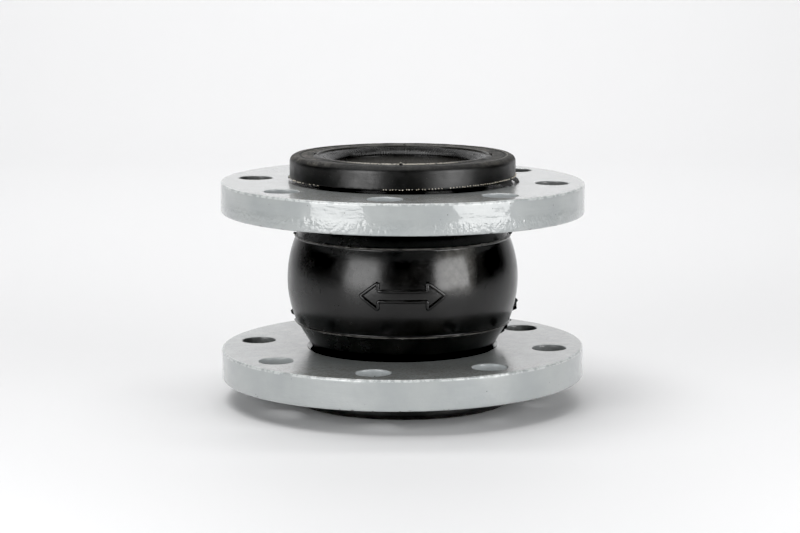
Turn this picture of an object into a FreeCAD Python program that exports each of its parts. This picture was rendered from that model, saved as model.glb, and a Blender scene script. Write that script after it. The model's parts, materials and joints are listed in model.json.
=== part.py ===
import FreeCAD, Part
import os
from math import pi

import Sketcher

# Single-sphere rubber expansion joint, DN 80, with two floating steel flanges.
# The pipe axis is Z. The origin is the centre of the lower sealing face, so the joint stands on z = 0.
# Lengths are millimetres and angles are degrees.

DIMENSIONS = {
    # Whole joint
    "free_length": 133.0,
    "bore_radius": 39.0,
    # Loose flanges: 195 mm across, eight 18 mm holes on a 160 mm circle
    "flange_radius": 97.5,
    "flange_thickness": 16.5,
    "flange_bore_radius": 49.6,
    "flange_bore_chamfer": 2.0,
    "flange_edge_radius": 1.0,
    "bolt_circle_radius": 80.0,
    "bolt_hole_radius": 9.0,
    "bolt_count": 8,
    "lower_flange_gap": 0.65,
    "upper_flange_drop": 2.0,
    "lower_flange_tilt": -0.5,
    "upper_flange_tilt": 0.235,
    "lower_flange_turn": 34.2,
    "upper_flange_turn": 38.4,
    # Bulge of the bellows: a meridian arc between two mould seams, then straight shoulders
    "bulge_radius": 62.1,
    "meridian_radius": 58.5,
    "seam_height": 23.9,
    "shoulder_angle": 31.5,
    # Wall of the bellows, from the bore outwards
    "tube_wall": 2.2,
    "ply_wall": 0.6,
    "cover_wall": 1.95,
    "bond_gap": 0.15,
    # Sealing lip, where the inner tube opens out into the face ring
    "lip_radius": 45.25,
    "lip_depth": 1.0,
    "funnel_depth": 4.5,
    "turn_depth": 9.2,
    "turn_angle": 34.0,
    # Bead ring at each end
    "ring_radius": 60.5,
    "ring_thickness": 12.3,
    "ring_edge_radius": 2.5,
    "face_wall": 3.2,
    "side_wall": 2.35,
    "crest_radius": 0.9,
    "groove_radius": 54.8,
    "groove_half_width": 0.3,
    "groove_depth": 0.4,
    # Bead wire bundle and its wrap
    "wire_radius": 0.55,
    "wire_pitch": 1.2,
    "wire_rows": 3,
    "bundle_radius": 49.95,
    "wrap_width": 4.6,
    "wrap_wall": 0.35,
    "wrap_slit": 0.3,
    "wrap_clearance": 0.1,
}

doc = FreeCAD.newDocument("rubber_expansion_joint")
sheet = doc.addObject("Spreadsheet::Sheet", "Dimensions")
for row, (alias, number) in enumerate(DIMENSIONS.items(), start=1):
    sheet.set(f"A{row}", alias)
    sheet.set(f"B{row}", str(number))
    sheet.setAlias(f"B{row}", alias)
doc.recompute()

sub_parts = []


def size(alias):
    """The expression that reads one cell of the sheet."""
    return f"Dimensions.{alias}"


def value_of(expression):
    """The number that an expression gives now."""
    found = sheet.evalExpression(expression)
    return float(getattr(found, "Value", found))


def point_of(corner):
    """The place of an outline's corner in its sketch."""
    return FreeCAD.Vector(value_of(corner[0]), value_of(corner[1]), 0)


def origin_plane(body, role):
    """One of a body's own origin planes."""
    return next(plane for plane in body.Origin.OriginFeatures if plane.Role == role)


def arc_middle(first, last, radius, outward):
    """The middle of the arc between two points, bulging to the side that outward points to."""
    chord_middle = (first + last) * 0.5
    half_chord = (last - first).Length / 2
    across = FreeCAD.Vector(last.y - first.y, first.x - last.x, 0).normalize()
    if across.dot(outward) < 0:
        across = across * -1
    return chord_middle + across * (radius - (radius**2 - half_chord**2) ** 0.5)


def draw_outline(sketch, corners, arcs):
    """Draws a closed outline. Each corner is a pair of expressions, radius and height, and arcs gives
    the edges that are round: the number of the edge's first corner, its radius, and which way it bulges."""
    points = [point_of(corner) for corner in corners]
    ends = []
    for number, first in enumerate(points):
        last = points[(number + 1) % len(points)]
        if number in arcs:
            radius, outward = arcs[number]
            middle = arc_middle(first, last, value_of(radius), FreeCAD.Vector(*outward, 0))
            edge = sketch.addGeometry(Part.Arc(first, middle, last))
            starts_first = sketch.getPoint(edge, 1).distanceToPoint(first) < 1e-6
            ends.append((edge, 1, 2) if starts_first else (edge, 2, 1))
        else:
            edge = sketch.addGeometry(Part.LineSegment(first, last))
            ends.append((edge, 1, 2))
    for number, (edge, start, _) in enumerate(ends):
        before, _, end_before = ends[number - 1]
        sketch.addConstraint(Sketcher.Constraint("Coincident", before, end_before, edge, start))
        for direction, expression in zip(("DistanceX", "DistanceY"), corners[number]):
            limit = Sketcher.Constraint(direction, edge, start, value_of(expression))
            sketch.setExpression(f"Constraints[{sketch.addConstraint(limit)}]", expression)
        if number in arcs:
            radius = arcs[number][0]
            limit = Sketcher.Constraint("Radius", edge, value_of(radius))
            sketch.setExpression(f"Constraints[{sketch.addConstraint(limit)}]", radius)


def revolved_body(label, corners, arcs=None):
    """A ring turned from one closed outline about the pipe axis."""
    body = doc.addObject("PartDesign::Body", label)
    profile = body.newObject("Sketcher::SketchObject", f"{label}_profile")
    profile.AttachmentSupport = (origin_plane(body, "XZ_Plane"), [""])
    profile.MapMode = "FlatFace"
    draw_outline(profile, corners, arcs or {})
    ring = body.newObject("PartDesign::Revolution", f"{label}_turning")
    ring.Profile = profile
    ring.ReferenceAxis = (profile, ["V_Axis"])
    ring.Angle = 360
    body.Tip = ring
    sub_parts.append(body)
    return body


class End:
    """One end of the joint, where a depth is counted from the sealing face towards the bulge."""

    def __init__(self, name, upper):
        self.name = name
        self.upper = upper

    def height(self, depth):
        """The height of a depth below this end's sealing face."""
        return f"{size('free_length')} - ({depth})" if self.upper else depth

    def corners(self, outline):
        """An outline given as radius and depth, as radius and height."""
        return [(radius, self.height(depth)) for radius, depth in outline]

    def outward(self, radial, towards_face):
        """A direction in the outline's plane."""
        return (radial, towards_face if self.upper else -towards_face)


LOWER = End("lower", upper=False)
UPPER = End("upper", upper=True)

PLY_PITCH = f"({size('ply_wall')} + {size('bond_gap')})"
PLY_COUNT = 4
NECK_WALL = (
    f"({size('tube_wall')} + {PLY_COUNT} * {PLY_PITCH} + {size('bond_gap')} + {size('cover_wall')})"
)
CORE_TOP = f"({size('face_wall')} + 2 * {PLY_PITCH} + {size('bond_gap')})"
CORE_BOTTOM = f"({CORE_TOP} + {size('wrap_width')} + 2 * {size('wrap_clearance')})"
PLY_REACH = f"({size('ring_radius')} - {size('side_wall')} - {size('bond_gap')})"


def layer_offset(layer):
    """How far outside the bore the inside of ply number `layer` lies. Ply 0 is the innermost."""
    return f"{size('tube_wall')} + {size('bond_gap')} + {layer} * {PLY_PITCH}"


def bellows_side(offset):
    """The bellows' meridian, `offset` outside the bore's surface: lower neck corner, lower seam,
    upper seam, upper neck corner. The edge between the two seams is an arc."""
    inset = f"({NECK_WALL} - ({offset}))"
    arc_radius = f"({size('meridian_radius')} - {inset})"
    rise = f"({size('seam_height')} / {size('meridian_radius')})"
    centre = f"({size('bulge_radius')} - {size('meridian_radius')})"
    seam_radius = f"{centre} + {arc_radius} * sqrt(1 - {rise} ^ 2)"
    seam_lift = f"{arc_radius} * {rise}"
    outer_seam_radius = f"({centre} + sqrt({size('meridian_radius')} ^ 2 - {size('seam_height')} ^ 2))"
    neck_radius = f"({size('bore_radius')} + {NECK_WALL})"
    shoulder = f"({outer_seam_radius} - {neck_radius}) / tan({size('shoulder_angle')})"
    neck_height = (
        f"{size('free_length')} / 2 - {size('seam_height')} - {shoulder}"
        f" + {inset} * tan({size('shoulder_angle')} / 2)"
    )
    radius = f"{size('bore_radius')} + {offset}"
    return (
        [
            (radius, neck_height),
            (seam_radius, f"{size('free_length')} / 2 - {seam_lift}"),
            (seam_radius, f"{size('free_length')} / 2 + {seam_lift}"),
            (radius, f"{size('free_length')} - ({neck_height})"),
        ],
        arc_radius,
    )


def layer_body(label, inner_offset, outer_offset, end_turn):
    """One full-length layer of the bellows. end_turn gives, for an end, the outline of that end of the
    layer from its inner side to its outer side, as radius and depth."""
    inner, inner_arc = bellows_side(inner_offset)
    outer, outer_arc = bellows_side(outer_offset)
    upper_turn = UPPER.corners(end_turn)
    lower_turn = LOWER.corners(end_turn)
    corners = inner + upper_turn + outer[::-1] + lower_turn[::-1]
    inner_seam = 1
    outer_seam = len(inner) + len(upper_turn) + 1
    arcs = {inner_seam: (inner_arc, (1, 0)), outer_seam: (outer_arc, (1, 0))}
    return revolved_body(label, corners, arcs)


def slope_corners(offset):
    """The slope on which a surface `offset` outside the inner tube turns out over the bead: its start at
    the neck and its end under the face ring, as radius and depth."""
    half_turn = f"tan({size('turn_angle')} / 2)"
    start_radius = f"{size('bore_radius')} + {size('tube_wall')} + ({offset})"
    start_depth = f"{size('turn_depth')} + ({offset}) * {half_turn}"
    end_depth = f"{size('face_wall')} + ({offset})"
    slope_run = f"({start_depth} - ({end_depth})) * tan({size('turn_angle')})"
    return (start_radius, start_depth), (f"{start_radius} + {slope_run}", end_depth)


def inner_tube():
    """The rubber lining. It opens out into the sealing lip at each end."""
    slope_start, slope_end = slope_corners("0")
    lip = [
        (size("bore_radius"), size("funnel_depth")),
        (size("lip_radius"), size("lip_depth")),
        slope_end,
        slope_start,
    ]
    layer_body("inner_tube", "0", size("tube_wall"), lip)


def cord_ply(layer):
    """A ply of cord fabric. The two inner plies turn out above the bead wires and the two outer plies
    below them. The outermost ply's cut cords reach the side of the bead ring."""
    inner_offset = layer_offset(layer)
    outer_offset = f"{inner_offset} + {size('ply_wall')}"
    if layer < 2:
        from_tube = f"({size('bond_gap')} + {layer} * {PLY_PITCH})"
        inner_slope = slope_corners(from_tube)
        outer_slope = slope_corners(f"{from_tube} + {size('ply_wall')}")
        turn = [
            inner_slope[0],
            inner_slope[1],
            (PLY_REACH, inner_slope[1][1]),
            (PLY_REACH, outer_slope[1][1]),
            outer_slope[1],
            outer_slope[0],
        ]
    else:
        top = f"{CORE_BOTTOM} + {size('bond_gap')} + {layer - 2} * {PLY_PITCH}"
        reach = size("ring_radius") if layer == PLY_COUNT - 1 else PLY_REACH
        turn = [
            (f"{size('bore_radius')} + {inner_offset}", top),
            (reach, top),
            (reach, f"{top} + {size('ply_wall')}"),
            (f"{size('bore_radius')} + {outer_offset}", f"{top} + {size('ply_wall')}"),
        ]
    layer_body(f"cord_ply_{layer + 1}", inner_offset, outer_offset, turn)


def outer_cover():
    """The weatherproof rubber skin. It ends on the outermost ply where that turns out."""
    inner_offset = layer_offset(PLY_COUNT)
    top = f"{CORE_BOTTOM} + 2 * {PLY_PITCH} + {size('bond_gap')}"
    end = [
        (f"{size('bore_radius')} + {inner_offset}", top),
        (f"{size('bore_radius')} + {NECK_WALL}", top),
    ]
    layer_body("outer_cover", inner_offset, NECK_WALL, end)


def face_ring(end):
    """The sealing face: a flat rubber ring with a round-edged crest beside the lip, a fine flash groove,
    and a side wall over the bead."""
    inner_radius = f"({size('lip_radius')} + {size('bond_gap')})"
    corner = size("ring_edge_radius")
    outline = [
        (inner_radius, size("face_wall")),
        (inner_radius, size("crest_radius")),
        (f"{inner_radius} + {size('crest_radius')}", "0"),
        (f"{size('groove_radius')} - {size('groove_half_width')}", "0"),
        (size("groove_radius"), size("groove_depth")),
        (f"{size('groove_radius')} + {size('groove_half_width')}", "0"),
        (f"{size('ring_radius')} - {corner}", "0"),
        (size("ring_radius"), corner),
        (size("ring_radius"), f"{CORE_BOTTOM} + {PLY_PITCH}"),
        (f"{size('ring_radius')} - {size('side_wall')}", f"{CORE_BOTTOM} + {PLY_PITCH}"),
        (f"{size('ring_radius')} - {size('side_wall')}", size("face_wall")),
    ]
    arcs = {1: (size("crest_radius"), end.outward(-1, 1)), 6: (corner, end.outward(1, 1))}
    revolved_body(f"{end.name}_face_ring", end.corners(outline), arcs)


def toe_filler(end):
    """Rubber filling the corner between the inner plies' slope and the bead wires."""
    start, stop = slope_corners(f"2 * {PLY_PITCH} + {size('bond_gap')}")
    foot_radius = f"{start[0]} + ({start[1]} - {CORE_BOTTOM}) * tan({size('turn_angle')})"
    back = f"{size('bundle_radius')} - {size('wrap_width')} / 2 - {size('bond_gap')}"
    outline = [(foot_radius, CORE_BOTTOM), stop, (back, stop[1]), (back, CORE_BOTTOM)]
    revolved_body(f"{end.name}_toe_filler", end.corners(outline))


def heel_filler(end):
    """Rubber filling the bead outside the wires."""
    near = f"{size('bundle_radius')} + {size('wrap_width')} / 2 + {size('bond_gap')}"
    outline = [(near, CORE_TOP), (PLY_REACH, CORE_TOP), (PLY_REACH, CORE_BOTTOM), (near, CORE_BOTTOM)]
    revolved_body(f"{end.name}_heel_filler", end.corners(outline))


def bead_wrap(end):
    """The fabric tape round the wire bundle, with its edges meeting at a slit on the outside."""
    middle = f"({CORE_TOP} + {CORE_BOTTOM}) / 2"
    outer_half = f"{size('wrap_width')} / 2"
    inner_half = f"({outer_half} - {size('wrap_wall')})"
    half_slit = f"{size('wrap_slit')} / 2"
    centre = size("bundle_radius")
    outline = [
        (f"{centre} + {outer_half}", f"{middle} - {half_slit}"),
        (f"{centre} + {outer_half}", f"{middle} - {outer_half}"),
        (f"{centre} - {outer_half}", f"{middle} - {outer_half}"),
        (f"{centre} - {outer_half}", f"{middle} + {outer_half}"),
        (f"{centre} + {outer_half}", f"{middle} + {outer_half}"),
        (f"{centre} + {outer_half}", f"{middle} + {half_slit}"),
        (f"{centre} + {inner_half}", f"{middle} + {half_slit}"),
        (f"{centre} + {inner_half}", f"{middle} + {inner_half}"),
        (f"{centre} - {inner_half}", f"{middle} + {inner_half}"),
        (f"{centre} - {inner_half}", f"{middle} - {inner_half}"),
        (f"{centre} + {inner_half}", f"{middle} - {inner_half}"),
        (f"{centre} + {inner_half}", f"{middle} - {half_slit}"),
    ]
    revolved_body(f"{end.name}_bead_wrap", end.corners(outline))


def bead_wire(end):
    """The bundle of hard steel wire turns that holds the bead, one torus for each turn."""
    rows = DIMENSIONS["wire_rows"]
    middle = f"({CORE_TOP} + {CORE_BOTTOM}) / 2"
    turns = []
    for column in range(rows):
        for row in range(rows):
            turn = doc.addObject("Part::Torus", f"{end.name}_wire_turn_{column * rows + row + 1}")
            across = f"({column} - ({size('wire_rows')} - 1) / 2) * {size('wire_pitch')}"
            along = f"({row} - ({size('wire_rows')} - 1) / 2) * {size('wire_pitch')}"
            turn.setExpression("Radius1", f"{size('bundle_radius')} + {across}")
            turn.setExpression("Radius2", size("wire_radius"))
            turn.setExpression("Placement.Base.z", end.height(f"{middle} + {along}"))
            turns.append(turn)
    bundle = doc.addObject("Part::Compound", f"{end.name}_bead_wire")
    bundle.Links = turns
    sub_parts.append(bundle)


def chafer_strip(end):
    """The rubber skin of the bead ring on the side that the steel flange bears on."""
    top = f"{CORE_BOTTOM} + 2 * {PLY_PITCH} + {size('bond_gap')}"
    near = f"{size('bore_radius')} + {NECK_WALL} + {size('bond_gap')}"
    outline = [
        (near, top),
        (size("ring_radius"), top),
        (size("ring_radius"), size("ring_thickness")),
        (near, size("ring_thickness")),
    ]
    revolved_body(f"{end.name}_chafer_strip", end.corners(outline))


def flange_disc(end):
    """The disc of a floating steel flange, with its lower face on z = 0 of its own frame. Its bore is
    chamfered on the side of the bulge, and its rim is rounded."""
    thickness = size("flange_thickness")
    rim = size("flange_edge_radius")
    chamfer = size("flange_bore_chamfer")
    bore = size("flange_bore_radius")
    from_ring_side = [
        (bore, "0"),
        (f"{size('flange_radius')} - {rim}", "0"),
        (size("flange_radius"), rim),
        (size("flange_radius"), f"{thickness} - {rim}"),
        (f"{size('flange_radius')} - {rim}", thickness),
        (f"{bore} + {chamfer}", thickness),
        (bore, f"{thickness} - {chamfer}"),
    ]
    outline = [
        (radius, f"{thickness} - ({depth})" if end.upper else depth) for radius, depth in from_ring_side
    ]
    arcs = {1: (rim, end.outward(1, 1)), 3: (rim, end.outward(1, -1))}
    return revolved_body(f"{end.name}_flange", outline, arcs)


def bolt_hole_sketch(body, turn):
    """One bolt hole's circle, at an angle `turn` round the bolt circle."""
    sketch = body.newObject("Sketcher::SketchObject", f"{body.Label}_hole_sketch")
    sketch.AttachmentSupport = (origin_plane(body, "XY_Plane"), [""])
    sketch.MapMode = "FlatFace"
    reach = DIMENSIONS["bolt_circle_radius"]
    direction = FreeCAD.Rotation(FreeCAD.Vector(0, 0, 1), value_of(turn))
    centre = direction.multVec(FreeCAD.Vector(reach, 0, 0))
    spoke = sketch.addGeometry(Part.LineSegment(FreeCAD.Vector(0, 0, 0), centre), True)
    circle = Part.Circle(centre, FreeCAD.Vector(0, 0, 1), DIMENSIONS["bolt_hole_radius"])
    hole = sketch.addGeometry(circle)
    sketch.addConstraint(Sketcher.Constraint("Coincident", spoke, 1, -1, 1))
    sketch.addConstraint(Sketcher.Constraint("Coincident", hole, 3, spoke, 2))
    driven = (
        (Sketcher.Constraint("Distance", spoke, reach), size("bolt_circle_radius")),
        (Sketcher.Constraint("Angle", spoke, value_of(f"{turn} * pi / 180")), turn),
        (Sketcher.Constraint("Radius", hole, DIMENSIONS["bolt_hole_radius"]), size("bolt_hole_radius")),
    )
    for limit, expression in driven:
        sketch.setExpression(f"Constraints[{sketch.addConstraint(limit)}]", expression)
    return sketch


def flange(end, height, turn, tilt):
    """A floating steel flange with its bolt holes, set at a height and hanging out of level by `tilt`."""
    body = flange_disc(end)
    doc.recompute()
    disc_volume = body.Shape.Volume

    hole_sketch = bolt_hole_sketch(body, turn)
    pocket = body.newObject("PartDesign::Pocket", f"{body.Label}_bolt_hole")
    pocket.Profile = hole_sketch
    pocket.Type = "ThroughAll"
    pocket.Midplane = True
    doc.recompute()
    pattern = body.newObject("PartDesign::PolarPattern", f"{body.Label}_bolt_holes")
    pattern.Originals = [pocket]
    pattern.Axis = (hole_sketch, ["N_Axis"])
    pattern.Angle = 360
    pattern.setExpression("Occurrences", size("bolt_count"))
    body.Tip = pattern
    across = FreeCAD.Rotation(FreeCAD.Vector(0, 1, 0), 1)
    body.Placement = FreeCAD.Placement(FreeCAD.Vector(0, 0, 0), across)
    body.setExpression("Placement.Rotation.Angle", tilt)
    body.setExpression("Placement.Base.z", height)
    doc.recompute()
    hole_volume = pi * DIMENSIONS["bolt_hole_radius"] ** 2 * DIMENSIONS["flange_thickness"]
    cut = hole_volume * DIMENSIONS["bolt_count"]
    if abs(disc_volume - body.Shape.Volume - cut) > 0.01 * cut:
        raise RuntimeError(f"{body.Label}: the bolt holes aren't all cut")


def check_document():
    """Stops if any object of the document failed, or if a sub-part has no sound shape."""
    for item in doc.Objects:
        if "Invalid" in item.State or "Error" in item.State:
            raise RuntimeError(f"{item.Label} failed: {item.State}")
    for sub_part in sub_parts:
        if sub_part.Shape.isNull() or not sub_part.Shape.isValid():
            raise RuntimeError(f"{sub_part.Label} has no valid shape")


for joint_end in (LOWER, UPPER):
    face_ring(joint_end)
    toe_filler(joint_end)
    heel_filler(joint_end)
    bead_wrap(joint_end)
    bead_wire(joint_end)
    chafer_strip(joint_end)
inner_tube()
for ply in range(PLY_COUNT):
    cord_ply(ply)
outer_cover()
lower_height = f"{size('ring_thickness')} + {size('lower_flange_gap')}"
upper_depth = f"{size('ring_thickness')} + {size('upper_flange_drop')} + {size('flange_thickness')}"
flange(LOWER, lower_height, size("lower_flange_turn"), size("lower_flange_tilt"))
flange(UPPER, UPPER.height(upper_depth), size("upper_flange_turn"), size("upper_flange_tilt"))
doc.recompute()
check_document()

os.makedirs("parts", exist_ok=True)
for sub_part in sub_parts:
    sub_part.Shape.exportStep(f"parts/{sub_part.Label}.step")
    solid_count = len(sub_part.Shape.Solids)
    print(f"{sub_part.Label}: {solid_count} solid(s), {sub_part.Shape.Volume:.0f} mm3")
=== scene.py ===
import json
import math
import random

import bmesh
import bpy
from mathutils import Matrix, Vector, noise


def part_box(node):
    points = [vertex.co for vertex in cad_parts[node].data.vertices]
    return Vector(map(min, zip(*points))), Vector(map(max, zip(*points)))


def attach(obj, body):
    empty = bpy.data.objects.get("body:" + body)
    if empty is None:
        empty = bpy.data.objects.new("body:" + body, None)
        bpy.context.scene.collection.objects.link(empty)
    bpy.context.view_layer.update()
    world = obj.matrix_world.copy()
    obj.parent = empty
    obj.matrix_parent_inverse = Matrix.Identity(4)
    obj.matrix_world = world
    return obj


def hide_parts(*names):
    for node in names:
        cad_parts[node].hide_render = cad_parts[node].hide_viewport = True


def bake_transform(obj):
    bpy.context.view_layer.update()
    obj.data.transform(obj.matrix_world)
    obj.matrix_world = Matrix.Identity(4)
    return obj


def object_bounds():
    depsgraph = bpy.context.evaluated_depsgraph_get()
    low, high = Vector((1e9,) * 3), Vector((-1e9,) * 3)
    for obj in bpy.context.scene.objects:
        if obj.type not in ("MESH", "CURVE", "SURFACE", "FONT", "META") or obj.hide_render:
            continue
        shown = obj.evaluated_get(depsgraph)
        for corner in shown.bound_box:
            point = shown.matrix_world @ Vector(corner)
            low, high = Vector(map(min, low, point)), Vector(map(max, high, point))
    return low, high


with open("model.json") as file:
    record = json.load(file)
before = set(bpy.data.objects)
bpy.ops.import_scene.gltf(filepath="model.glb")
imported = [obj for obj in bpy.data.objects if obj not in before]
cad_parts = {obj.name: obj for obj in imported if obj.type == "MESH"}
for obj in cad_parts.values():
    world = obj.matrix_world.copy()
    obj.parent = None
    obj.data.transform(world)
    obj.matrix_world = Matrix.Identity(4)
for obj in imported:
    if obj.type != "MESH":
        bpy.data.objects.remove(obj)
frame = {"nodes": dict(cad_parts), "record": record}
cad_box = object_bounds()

# A DN 80 rubber expansion joint standing on its lower sealing face. Metres, with the pipe axis on Z.
MM = 0.001

# ------------------------ sizes from the frame


def reach(node):
    """The largest radius of a CAD node about the pipe axis."""
    low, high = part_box(node)
    return max(high[0], high[1], -low[0], -low[1])


LENGTH = cad_box[1][2]
MIDDLE = LENGTH / 2
FLANGE_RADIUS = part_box("upper_flange")[1][1]
BULGE_RADIUS = reach("outer_cover")
RING_RADIUS = reach("upper_face_ring")
RING_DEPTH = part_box("lower_chafer_strip")[1][2]
COVER_END_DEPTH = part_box("outer_cover")[0][2]
BOLTS = next(m for m in frame["record"]["mounts"] if m["name"] == "upper_bolts")["dims"]
BOLT_CIRCLE = BOLTS["pcd_mm"] * MM / 2
BOLT_HOLE = BOLTS["hole_r_mm"] * MM
BOLT_COUNT = BOLTS["count"]

# Sizes of the bellows that no box gives
NECK_RADIUS = 46.3 * MM
BORE_RADIUS = 39.0 * MM
MERIDIAN = 58.5 * MM
SEAM_OFF = 23.9 * MM
SHOULDER_ANGLE = math.radians(31.5)
WALL = NECK_RADIUS - BORE_RADIUS
COVER_WALL = 1.95 * MM
LINER_WALL = 2.2 * MM
LIP_RADIUS = 45.5 * MM
LIP_DEPTH = 1.0 * MM
FUNNEL_DEPTH = 4.5 * MM
LIP_THICKNESS = 2.0 * MM
TURN_DEPTH = 9.2 * MM
RING_EDGE = 3.2 * MM
GROOVE_RADIUS = 54.8 * MM
CREST_RADIUS = 46.5 * MM
FLANGE_BORE = 49.6 * MM
FLANGE_CHAMFER = 2.0 * MM
FLANGE_THICKNESS = 16.5 * MM
LOWER_TURN = math.radians(34.2)
UPPER_TURN = math.radians(38.4)
# How far each loose flange hangs out of level, about +Y
LOWER_TILT = math.radians(-0.5)
UPPER_TILT = math.radians(0.235)

ARC_CENTRE = BULGE_RADIUS - MERIDIAN
LOWER_SEAM = MIDDLE - SEAM_OFF
UPPER_SEAM = MIDDLE + SEAM_OFF
LOWER_CENTRE = sum((Vector(corner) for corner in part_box("lower_flange")), Vector()) / 2
UPPER_CENTRE = sum((Vector(corner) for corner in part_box("upper_flange")), Vector()) / 2

FRONT = -math.pi / 2


# ------------------------ mesh helpers


def soft_max(a, b, width):
    """The larger of two numbers, rounded over where they are close."""
    return (a + b + math.sqrt((a - b) ** 2 + width**2)) / 2


def smooth(value, start, end):
    """0 before start, 1 after end, and a smooth rise between them."""
    share = min(max((value - start) / (end - start), 0), 1)
    return share * share * (3 - 2 * share)


def wall_radius(height, inset):
    """The radius of the bellows' wall at a height, `inset` inside the cover's outer face."""
    off = abs(height - MIDDLE)
    arc = MERIDIAN - inset
    seam_off = arc * SEAM_OFF / MERIDIAN
    if off <= seam_off:
        return ARC_CENTRE + math.sqrt(arc**2 - off**2)
    seam_radius = ARC_CENTRE + math.sqrt(arc**2 - seam_off**2)
    cone = seam_radius - (off - seam_off) * math.tan(SHOULDER_ANGLE)
    return soft_max(cone, NECK_RADIUS - inset, 1.2 * MM)


def steps(start, end, pitch):
    """Numbers from start to end, both included, about `pitch` apart."""
    count = max(1, round(abs(end - start) / pitch))
    return [start + (end - start) * k / count for k in range(count + 1)]


def on_axis(radius, angle, height):
    """A point at a radius and an angle about the pipe axis."""
    return Vector((radius * math.cos(angle), radius * math.sin(angle), height))


def new_piece(name, mesh_builder, material, crease=35):
    """Makes an object of one material from a bmesh, shaded smooth apart from creases sharper than `crease`
    degrees."""
    mesh = bpy.data.meshes.new(name)
    mesh_builder.to_mesh(mesh)
    mesh_builder.free()
    mesh.materials.append(material)
    mesh.shade_smooth()
    mesh.set_sharp_from_angle(angle=math.radians(crease))
    piece = bpy.data.objects.new(name, mesh)
    bpy.context.collection.objects.link(piece)
    return piece


def close_bands(build, rings, closed):
    """Joins each ring of vertices to the next with a band of faces, and the last to the first if closed."""
    nexts = rings[1:] + rings[:1] if closed else rings[1:]
    for here, after in zip(rings, nexts):
        for side in range(len(here)):
            beside = (side + 1) % len(here)
            build.faces.new((here[side], after[side], after[beside], here[beside]))


def turned(outline, turns, shift=None):
    """A closed ring turned from an outline of (radius, height) corners. shift(point) gives how far each
    vertex moves away from the axis and up."""
    build = bmesh.new()
    loops = []
    for step in range(turns):
        angle = 2 * math.pi * step / turns
        loop = []
        for radius, height in outline:
            point = on_axis(radius, angle, height)
            if shift:
                out, up = shift(point)
                point = on_axis(radius + out, angle, height + up)
            loop.append(build.verts.new(point))
        loops.append(loop)
    close_bands(build, loops, closed=True)
    bmesh.ops.recalc_face_normals(build, faces=build.faces)
    return build


def lump(build, centre, outwards, radius, tall, rng, sides=9):
    """Adds a small moulded nub with an uneven top, standing on a surface."""
    across = outwards.orthogonal().normalized()
    along = outwards.cross(across)
    # (share of its height, share of its radius)
    levels = ((0.0, 1.15), (0.55, 1.0), (0.9, 0.75), (1.0, 0.35))
    sunk = 0.4 * MM
    rings = []
    for level, share in levels:
        ring = []
        for side in range(sides):
            angle = 2 * math.pi * side / sides
            girth = radius * share * rng.uniform(0.85, 1.15)
            lift = -sunk + (tall + sunk) * level * rng.uniform(0.9, 1.05)
            offset = across * math.cos(angle) * girth + along * math.sin(angle) * girth
            ring.append(build.verts.new(centre + offset + outwards * lift))
        rings.append(ring)
    for low, high in zip(rings, rings[1:]):
        for side in range(sides):
            after = (side + 1) % sides
            build.faces.new((low[side], low[after], high[after], high[side]))
    build.faces.new(rings[-1])
    build.faces.new(rings[0][::-1])


def noise_at(point, wavelength, seed=0.0):
    """Smooth noise between about -1 and 1 whose lumps are `wavelength` apart."""
    return noise.noise(point / wavelength + Vector((seed, seed * 0.7, -seed)))


# ------------------------ material helpers


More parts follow.
